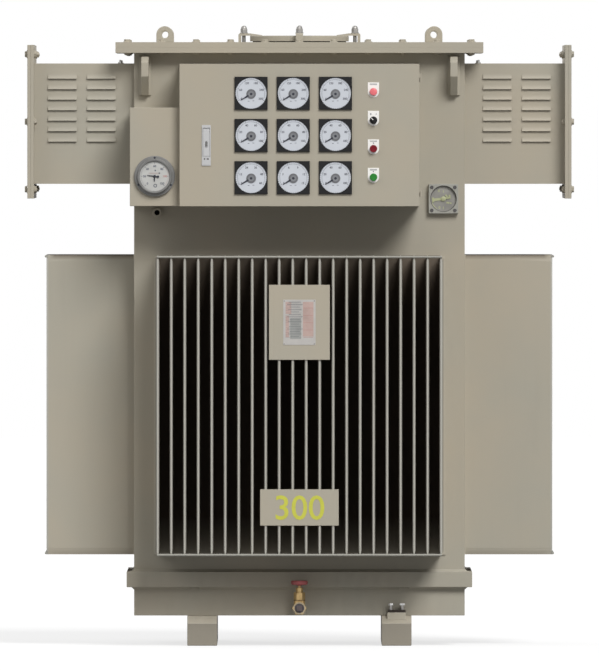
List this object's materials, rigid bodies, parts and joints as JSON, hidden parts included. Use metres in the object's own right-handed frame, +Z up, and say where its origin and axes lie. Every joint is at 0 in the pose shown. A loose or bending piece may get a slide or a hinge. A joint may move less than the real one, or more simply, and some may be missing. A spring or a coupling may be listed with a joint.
{
  "type": "induction voltage regulator",
  "caption": "Oil-filled induction voltage regulator in a finned steel tank on skids, with a metered control door, louvred terminal boxes and a drain valve.",
  "frame": {"origin": "on the floor under the middle of the tank", "axes": "+Z up, the control door faces -Y, +X to the right as seen from the front"},
  "size_m": [1.82, 1.5, 2.075],
  "materials": {
    "tank_paint": "satin beige-grey enamel",
    "zinc": "bright zinc plating",
    "nickel": "satin plated steel",
    "handle_grey": "satin silver-grey",
    "brass": "cast brass, lightly tarnished",
    "dark_iron": "dark malleable iron",
    "wheel_red": "gloss red enamel",
    "black_plastic": "moulded black",
    "dial_white": "printed matt white",
    "legend_white": "white laminate",
    "lamp_pink": "diffusing lens",
    "button_red": "moulded red",
    "button_green": "moulded green",
    "gauge_grey": "satin grey",
    "gauge_dark": "printed matt charcoal",
    "plate_metal": "brushed and etched"
  },
  "bodies": {
    "regulator": {"skid_left": "tank_paint", "skid_right": "tank_paint", "tank_body": "tank_paint", "base_band": "tank_paint", "rim_flange": "tank_paint", "cover_plate": "tank_paint", "lifting_eyes": "tank_paint", "lifting_lugs": "tank_paint", "handhole_neck": "tank_paint", "handhole_lid": "tank_paint", "lid_clamps": "tank_paint", "clamp_studs": "zinc", "front_fins": "tank_paint", "back_fins": "tank_paint", "left_fins": "tank_paint", "right_fins": "tank_paint", "left_terminal_box": "tank_paint", "right_terminal_box": "tank_paint", "left_terminal_flange": "tank_paint", "right_terminal_flange": "tank_paint", "left_blank_plate": "tank_paint", "right_blank_plate": "tank_paint", "control_box": "tank_paint", "box_hinge_leaves": "nickel", "thermometer_box": "tank_paint", "thermometer_case": "gauge_grey", "thermometer_dial": "dial_white", "oil_gauge_case": "gauge_grey", "oil_gauge_dial": "gauge_dark", "test_socket": "tank_paint", "drain_pipe": "tank_paint", "drain_valve_body": "brass", "drain_plug": "dark_iron", "earth_pad": "tank_paint", "nameplate_bracket": "tank_paint", "nameplate": "plate_metal", "number_plate": "tank_paint"},
    "door": {"control_door": "tank_paint", "door_hinge_leaves": "nickel", "meter_cases": "black_plastic", "meter_dials": "dial_white", "legend_plates": "legend_white", "switch_bodies": "black_plastic", "pilot_lamp": "lamp_pink", "handle_plate": "handle_grey"},
    "lever": {"handle_lever": "handle_grey"},
    "selector": {"selector_knob": "black_plastic"},
    "raise_key": {"raise_button": "button_red"},
    "lower_key": {"lower_button": "button_green"},
    "handwheel": {"valve_handwheel": "wheel_red"}
  },
  "joints": [
    {"name": "door_hinge", "type": "hinge", "parent": "regulator", "child": "door", "pos_m": [0.4045, -0.6755, 1.7075], "axis": [0, 0, 1], "range_deg": [0, 110]},
    {"name": "lever_pivot", "type": "hinge", "parent": "door", "child": "lever", "pos_m": [-0.3105, -0.699, 1.724], "axis": [-1, 0, 0], "range_deg": [0, 30]},
    {"name": "selector_turn", "type": "hinge", "parent": "door", "child": "selector", "pos_m": [0.247, -0.704, 1.757], "axis": [0, 1, 0], "range_deg": [0, 90]},
    {"name": "raise_press", "type": "slide", "parent": "door", "child": "raise_key", "axis": [0, 1, 0], "range_m": [0, 0.004], "stiffness_N_per_m": 400},
    {"name": "lower_press", "type": "slide", "parent": "door", "child": "lower_key", "axis": [0, 1, 0], "range_m": [0, 0.004], "stiffness_N_per_m": 400},
    {"name": "handwheel_turn", "type": "hinge", "parent": "regulator", "child": "handwheel", "pos_m": [0, -0.52, 0.215], "axis": [0, 0, 1], "range_deg": [0, 1440]}
  ]
}
